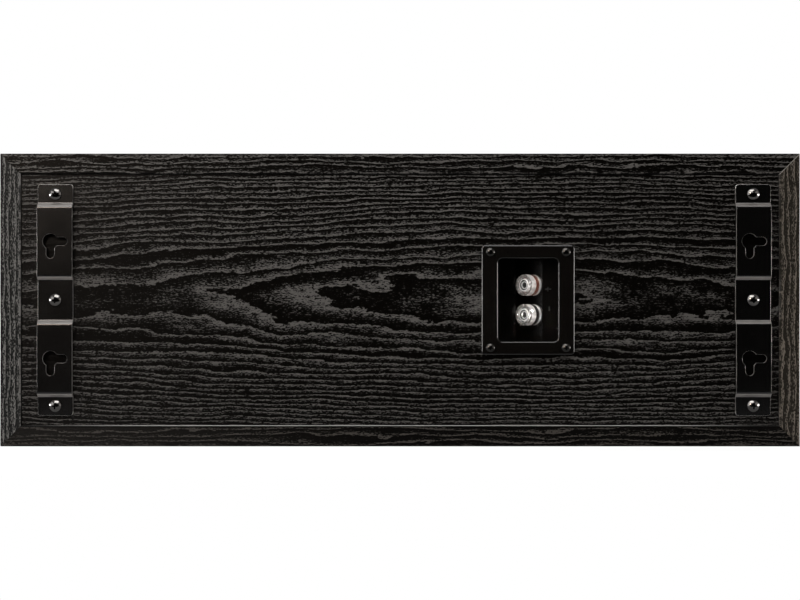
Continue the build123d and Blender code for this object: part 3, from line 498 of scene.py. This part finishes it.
right_foil = ash_foil(
    "black_ash_right", lambda x, y, z: (z, x - y), line_rings(3.2), rgb(27, 27, 26),
    rgb(106, 104, 101), cover=0.75, seed=41.0, swing=(48, 9), drift=2.3,
)
lacquer = plain(
    "satin_black_lacquer", rgb(17, 17, 17), 0.36, mottle=0.2, grain_size=1.2, height=0.02,
    Specular_IOR_Level=0.3,
)
strap = strap_steel()
black_chrome = screw_steel("black_chrome_screws", (0.09, 0.086, 0.083, 1), 0.13)
small_screw = screw_steel("black_small_screws", (0.026, 0.025, 0.0235, 1), 0.24)
cup_plastic = plain(
    "moulded_cup_plastic", (0.0032, 0.0026, 0.0021, 1), 0.18, mottle=0.2, grain_size=0.5,
    height=0.006, Specular_IOR_Level=0.4,
)
mark_plastic = plain(
    "rubbed_mark_plastic", rgb(9, 8, 7), 0.55, mottle=0.2, Specular_IOR_Level=0.25,
)
nickel = threaded_nickel()
clear = clear_sleeve()
tinned = plain("tinned_brass", (0.72, 0.68, 0.58, 1), 0.3, metallic=1.0, mottle=0.08)
red_plastic = plain("red_ring_plastic", rgb(160, 66, 48), 0.35, mottle=0.12)
black_plastic = plain("black_ring_plastic", rgb(16, 15, 14), 0.35, mottle=0.12)
rubber = plain("surround_rubber", rgb(19, 19, 19), 0.5, mottle=0.2, grain_size=0.8, height=0.015)
pulp = cone_pulp()
silk = dome_silk()
basket_paint = plain("basket_paint", rgb(20, 20, 20), 0.4, mottle=0.2, grain_size=1.0, height=0.02)
socket_rubber = plain("socket_rubber", rgb(18, 18, 18), 0.6, mottle=0.2)
foam = plain("gasket_foam", rgb(20, 20, 20), 0.9, mottle=0.3, grain_size=0.5, height=0.05)
wadding = plain(
    "damping_wadding", rgb(206, 204, 196), 0.95, mottle=0.12, grain_size=1.5, height=0.4,
)
zinc = plain("zinc_steel", (0.6, 0.6, 0.58, 1), 0.35, metallic=1.0, mottle=0.1)
ferrite = plain("ferrite", rgb(42, 41, 40), 0.7, mottle=0.2, grain_size=0.4, height=0.02)
copper = plain(
    "copper_winding", (0.6, 0.28, 0.13, 1), 0.3, metallic=1.0, grain_size=0.3, height=0.05,
)
spider_cloth = plain(
    "spider_cloth", rgb(196, 168, 112), 0.85, mottle=0.2, grain_size=0.4, height=0.06,
)
board_green = plain("board_laminate", rgb(38, 74, 46), 0.45)
nylon = plain("nylon_supports", rgb(222, 220, 210), 0.5, mottle=0.06)
film_yellow = plain("capacitor_film", rgb(190, 150, 44), 0.35, mottle=0.08)
ceramic = plain(
    "resistor_ceramic", rgb(226, 224, 216), 0.75, mottle=0.06, grain_size=0.5, height=0.03,
)
lead_black = plain("lead_insulation", rgb(26, 26, 27), 0.45, mottle=0.1)


def dress(finish, *names):
    """Gives CAD nodes their finish."""
    for name in names:
        node = nodes[name]
        node.data.materials.clear()
        node.data.materials.append(finish)


dress(back_foil, "back_panel")
dress(top_foil, "top_panel")
dress(bottom_foil, "bottom_panel")
dress(left_foil, "left_side_panel")
dress(right_foil, "right_side_panel")
dress(lacquer, "front_baffle")
dress(strap, "left_hanging_bracket", "right_hanging_bracket")
dress(black_chrome, "bracket_screws")
dress(cup_plastic, "terminal_cup")
dress(basket_paint, "tweeter_faceplate")
dress(small_screw, "terminal_screws", "woofer_screws", "tweeter_screws")
dress(nickel, "red_post_stud", "black_post_stud", "post_lock_nuts")
dress(nickel, "red_nut_insert", "black_nut_insert")
dress(tinned, "solder_tags")
dress(red_plastic, "red_post_ring")
dress(black_plastic, "black_post_ring")
dress(clear, "red_nut_sleeve", "black_nut_sleeve")
dress(socket_rubber, "grille_sockets")
dress(foam, "terminal_gasket")
dress(wadding, "damping_pads")
dress(silk, "tweeter_dome")
dress(nylon, "crossover_supports")
dress(board_green, "crossover_board")
dress(copper, "low_pass_coil", "high_pass_coil", "tweeter_voice_coil")
dress(film_yellow, "film_capacitors")
dress(ceramic, "power_resistor")
dress(lead_black, "input_leads", "woofer_leads", "tweeter_leads")
dress(zinc, "tweeter_top_plate", "tweeter_yoke")
dress(ferrite, "tweeter_magnet")
for side in ("left_woofer_", "right_woofer_"):
    dress(basket_paint, side + "basket")
    dress(rubber, side + "surround")
    dress(pulp, side + "cone", side + "dust_cap")
    dress(copper, side + "voice_coil")
    dress(spider_cloth, side + "spider")
    dress(zinc, side + "top_plate", side + "yoke")
    dress(ferrite, side + "magnet")


def finish_piece(shape, name, finish):
    """Turns a bmesh into an object with one finish and a material slot."""
    mesh = bpy.data.meshes.new(name)
    shape.to_mesh(mesh)
    shape.free()
    mesh.materials.append(finish)
    made = bpy.data.objects.new(name, mesh)
    bpy.context.scene.collection.objects.link(made)
    return made


def lathe(points, steps, frame_matrix):
    """A closed profile of (radius, height) points in millimetres, spun round the frame's z axis."""
    shape = bmesh.new()
    ring = [shape.verts.new((r * MM, 0, h * MM)) for r, h in points]
    edges = [shape.edges.new((a, b)) for a, b in zip(ring, ring[1:] + ring[:1])]
    bmesh.ops.spin(
        shape, geom=ring + edges, cent=(0, 0, 0), axis=(0, 0, 1), angle=2 * math.pi, steps=steps,
        use_merge=True,
    )
    bmesh.ops.remove_doubles(shape, verts=shape.verts, dist=1e-7)
    bmesh.ops.recalc_face_normals(shape, faces=shape.faces)
    bmesh.ops.transform(shape, matrix=frame_matrix, verts=shape.verts)
    for face in shape.faces:
        face.smooth = True
    return shape


def facing(origin, outward, up=(0, 0, 1)):
    """A frame at origin (in metres) whose z axis points outward."""
    z = Vector(outward).normalized()
    x = Vector(up).cross(z).normalized()
    y = z.cross(x)
    turn = Matrix((x, y, z)).transposed().to_4x4()
    return Matrix.Translation(origin) @ turn


def arc_points(centre, height, radius, start, end, count):
    """Points on an arc in the profile plane, from start to end degrees."""
    turns = [math.radians(start + (end - start) * k / count) for k in range(count + 1)]
    return [(centre + radius * math.cos(t), height + radius * math.sin(t)) for t in turns]


def bead_points(centre, base, height):
    """A low bead in the profile, from its outer foot over a flat crown to its inner foot."""
    half_foot = 0.4
    half_crown = 0.2
    crown = base + height
    return [
        (centre + half_foot, base),
        (centre + half_crown, crown),
        (centre - half_crown, crown),
        (centre - half_foot, base),
    ]


# The woofers' surround: radii, and heights over the baffle, in millimetres
LIP_INNER = 46.4
ROLL_INNER = 49.0
ROLL_OUTER = 59.5
LIP_OUTER = 61.9
INNER_BEAD = 48.2
OUTER_BEAD = 60.5
SEAT = -3.4
SKIN = 0.8


def woofer_surround(side, sign):
    """Rubber half-roll with fine moulded beads beside it, that follows the cone at its inner edge."""
    middle = (ROLL_INNER + ROLL_OUTER) / 2
    roll = (ROLL_OUTER - ROLL_INNER) / 2
    top = SEAT + SKIN
    profile = [(LIP_INNER, SEAT), (48.4, SEAT), (49.2, SEAT)]
    profile += arc_points(middle, SEAT, roll - SKIN, 180, 0, 22)
    profile += [(59.6, SEAT), (60.6, SEAT), (LIP_OUTER, SEAT)]
    profile += [(LIP_OUTER, top - 0.15), (LIP_OUTER - 0.2, top)]
    profile += bead_points(OUTER_BEAD, top, 0.3)
    profile += arc_points(middle, top, roll, 0, 180, 26)
    profile += bead_points(INNER_BEAD, top, 0.25)
    profile += [(LIP_INNER + 0.1, top)]
    place = Vector((sign * WOOFER_REACH * MM, FRONT_FACE, CABINET_MIDDLE))
    shape = lathe(profile, 120, facing(place, (0, -1, 0)))
    name = side + "_woofer_surround"
    made = finish_piece(shape, name + "_roll", rubber)
    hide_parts(name)
    rim = place + Vector((ROLL_OUTER * MM, 0, 0))
    cone_edge = place + Vector((ROLL_INNER * MM, 0, 0))
    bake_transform(made, "cabinet", side + "_cone_assembly", start=tuple(rim), end=tuple(cone_edge))
    follow = made.data.attributes["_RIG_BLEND"].data
    for point, weight in zip(made.data.vertices, follow):
        away = math.hypot(point.co.x - place.x, point.co.z - place.z) / MM
        share = min(1, max(0, (ROLL_OUTER - away) / (ROLL_OUTER - ROLL_INNER)))
        weight.value = share * share * (3 - 2 * share)


POST_AXIS = Vector((1, 1, 0)).normalized()
POST_FOOT = {
    "red": Vector((POST_X, POST_Y, MIDDLE + POST_RISE)) * MM,
    "black": Vector((POST_X, POST_Y, MIDDLE - POST_RISE)) * MM,
}


def knurled_insert(colour):
    """Metal nut inside the clear sleeve: a bored barrel with pyramids rolled into its side."""
    bore = 3.06
    barrel = 4.02
    foot = 2.1
    row_height = 0.93
    row_count = 8
    profile = [(bore, foot), (3.9, foot)]
    profile += [(barrel, foot + row_height * k) for k in range(row_count)]
    profile += [(barrel, 9.05), (4.0, 9.4), (3.8, 9.62), (3.62, 9.66), (3.2, 9.66), (bore, 9.55)]
    shape = lathe(profile, 44, Matrix.Identity(4))
    knurl_radius = 4.0 * MM
    knurl_end = 8.95 * MM
    knurl = [
        face for face in shape.faces
        if all(math.hypot(v.co.x, v.co.y) > knurl_radius and v.co.z < knurl_end for v in face.verts)
    ]
    bmesh.ops.poke(shape, faces=knurl, offset=0.14 * MM)
    for face in shape.faces:
        if face.calc_center_median().xy.length > knurl_radius:
            face.smooth = False
    bmesh.ops.transform(shape, matrix=facing(POST_FOOT[colour], POST_AXIS), verts=shape.verts)
    name = colour + "_nut_insert"
    made = finish_piece(shape, colour + "_nut_knurl", nickel)
    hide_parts(name)
    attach(made, colour + "_nut")


def ledge_mark(name, centre_x, centre_z, arms):
    """A small raised sign moulded on the cup's ledge, from a square with arms drawn out of it."""
    half = 0.32 * MM
    height = 0.3 * MM
    sunk = 0.02
    near = 0.01 * MM
    shape = bmesh.new()
    bmesh.ops.create_grid(shape, x_segments=1, y_segments=1, size=half)
    for direction, reach in arms:
        way = Vector(direction)
        side = [
            edge for edge in shape.edges
            if ((edge.verts[0].co + edge.verts[1].co) / 2 - way * half).length < near
        ]
        drawn = bmesh.ops.extrude_edge_only(shape, edges=side)["geom"]
        ends = [v for v in drawn if isinstance(v, bmesh.types.BMVert)]
        bmesh.ops.translate(shape, vec=way * (reach * MM - half), verts=ends)
    raised = bmesh.ops.extrude_face_region(shape, geom=list(shape.faces))["geom"]
    tops = [v for v in raised if isinstance(v, bmesh.types.BMVert)]
    bmesh.ops.translate(shape, vec=(0, 0, height), verts=tops)
    bmesh.ops.recalc_face_normals(shape, faces=shape.faces)
    rims = [
        edge for edge in shape.edges
        if all(v.co.z > height - near for v in edge.verts) and edge.calc_face_angle(0) > 1
    ]
    bmesh.ops.bevel(
        shape, geom=rims, offset=0.1 * MM, segments=2, profile=0.5, affect="EDGES", material=-1,
        offset_type="OFFSET",
    )
    place = facing((centre_x * MM, (LEDGE_FACE - sunk) * MM, centre_z * MM), (0, 1, 0))
    bmesh.ops.transform(shape, matrix=place, verts=shape.verts)
    made = finish_piece(shape, name, mark_plastic)
    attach(made, "cabinet")


for side, sign in (("left", -1), ("right", 1)):
    woofer_surround(side, sign)
for colour in POST_FOOT:
    knurled_insert(colour)
cross_arms = [((1, 0, 0), 1.9), ((-1, 0, 0), 1.9), ((0, 1, 0), 1.5), ((0, -1, 0), 1.5)]
bar_arms = [((0, 1, 0), 1.45), ((0, -1, 0), 1.45)]
ledge_mark("plus_mark", -94.6, 99.9, cross_arms)
ledge_mark("minus_mark", -95.3, 87.4, bar_arms)


def pale_floor():
    """Pale floor that keeps the part's shadow, fades to white and ends a little behind the part."""
    half_size = 5.0
    rear_edge = 0.24
    fade_start, fade_end = 350, 750
    white_share = 0.6
    sheet = bmesh.new()
    bmesh.ops.create_grid(sheet, x_segments=1, y_segments=1, size=half_size)
    bmesh.ops.translate(sheet, vec=(0, rear_edge - half_size, 0), verts=sheet.verts)
    mesh = bpy.data.meshes.new("floor")
    sheet.to_mesh(mesh)
    sheet.free()
    floor = bpy.data.objects.new("floor", mesh)
    bpy.context.scene.collection.objects.link(floor)
    pale = bpy.data.materials.new("pale_floor")
    pale.use_nodes = True
    tree = pale.node_tree
    tree.nodes.remove(tree.nodes["Principled BSDF"])
    start = Wire(tree)
    seen = start.node("LightPath", {}, {}, "Is Camera Ray")
    x, y, z = axes(start.node("TexCoord", {}, {}, "Object"))
    away = ((x * x + y * y) ** 0.5).step(fade_start, fade_end)
    share = seen * (white_share + (1 - white_share) * away)
    matt = start.node("BsdfDiffuse", {}, {"Color": (0.6, 0.6, 0.6, 1)})
    glow = start.node("Emission", {}, {"Color": (1, 1, 1, 1), "Strength": 1.35})
    surface = start.node("MixShader", {}, {0: share, 1: matt, 2: glow})
    start.feed(tree.nodes["Material Output"].inputs[0], surface)
    mesh.materials.append(pale)


def dim_room():
    """White backdrop for the camera, and a room that is bright before the part and dark behind it.

    Reflections get the room and not the white, which would turn the black paint and plastic grey.
    """
    front_level = 0.6
    rear_level = 0.004
    world = bpy.data.worlds.new("studio_room")
    bpy.context.scene.world = world
    world.use_nodes = True
    background = world.node_tree.nodes["Background"]
    start = Wire(world.node_tree)
    ways = start.node("TexCoord", {}, {}, "Generated")
    rearward = start.node("SeparateXYZ", {}, {"Vector": ways}, 1)
    seen = start.node("LightPath", {}, {}, "Is Camera Ray")
    room = rearward.step(0.05, 0.7, front_level, rear_level)
    start.feed(background.inputs["Strength"], seen + (1 - seen) * room)
    background.inputs["Color"].default_value = (1, 1, 1, 1)


def soft_light(name, place, aim, size, power, colour=(1, 1, 1), sheen_only=False, beam=180):
    """A flat lamp that faces aim. A sheen lamp shows in reflections only."""
    data = bpy.data.lights.new(name, "AREA")
    data.shape = "RECTANGLE"
    data.size, data.size_y = size
    data.energy = power
    data.color = colour
    data.spread = math.radians(beam)
    light = bpy.data.objects.new(name, data)
    light.location = place
    light.visible_diffuse = not sheen_only
    light.rotation_mode = "QUATERNION"
    light.rotation_quaternion = (Vector(aim) - Vector(place)).to_track_quat("-Z", "Y")
    bpy.context.scene.collection.objects.link(light)


def studio_lights():
    """Soft lamps at the sides, the top and the front, lamps for the sheen, and one for the posts."""
    back = (0, REAR_FACE, CABINET_MIDDLE)
    left_strap = (0.2, REAR_FACE, 0.12)
    posts = (-0.078, 0.07, CABINET_MIDDLE - 0.006)
    drivers = (0, 0, CABINET_MIDDLE)
    near_white = (1, 0.98, 0.96)
    soft_light("key_left", (1.15, 0.78, 0.45), back, (0.8, 1.0), 7.5)
    soft_light("fill_right", (-1.2, 0.78, 0.4), back, (0.8, 1.0), 3, (1, 0.95, 0.9))
    soft_light("top_light", (0.08, 0.38, 0.52), back, (0.6, 0.35), 2.6)
    soft_light(
        "sheen_left", (0.56, 0.98, 0.55), left_strap, (0.25, 0.25), 8.6, (1, 0.84, 0.71),
        sheen_only=True,
    )
    soft_light("sheen_top", (0, 0.8, 1.25), back, (1.2, 0.5), 15, near_white, sheen_only=True)
    for name, side in (("edge_left", 1), ("edge_right", -1)):
        strap_middle = (side * 0.222, REAR_FACE, CABINET_MIDDLE)
        soft_light(
            name, (side * 0.8, 0.13, 0.1), strap_middle, (0.3, 0.14), 0.5, near_white,
            sheen_only=True, beam=60,
        )
    soft_light(
        "post_light", (0.15, 0.6, 0.2), posts, (0.016, 0.016), 0.0045, (1, 0.96, 0.93), beam=4,
    )
    soft_light("front_light", (-0.7, -1.4, 1.1), drivers, (1.4, 1.0), 14)


def photo_camera():
    """Camera square on to the back, at the photograph's scale."""
    lens_per_metre = 70.82
    data = bpy.data.cameras.new("photo_camera")
    data.sensor_width = 36
    data.lens = lens_per_metre * PHOTO_DISTANCE
    camera = bpy.data.objects.new("photo_camera", data)
    camera.location = (0, REAR_FACE + PHOTO_DISTANCE, CABINET_MIDDLE)
    camera.rotation_mode = "QUATERNION"
    camera.rotation_quaternion = Vector((0, -1, 0)).to_track_quat("-Z", "Y")
    bpy.context.scene.collection.objects.link(camera)
    bpy.context.scene.camera = camera


pale_floor()
dim_room()
studio_lights()
photo_camera()
bpy.context.scene.view_settings.view_transform = "Standard"
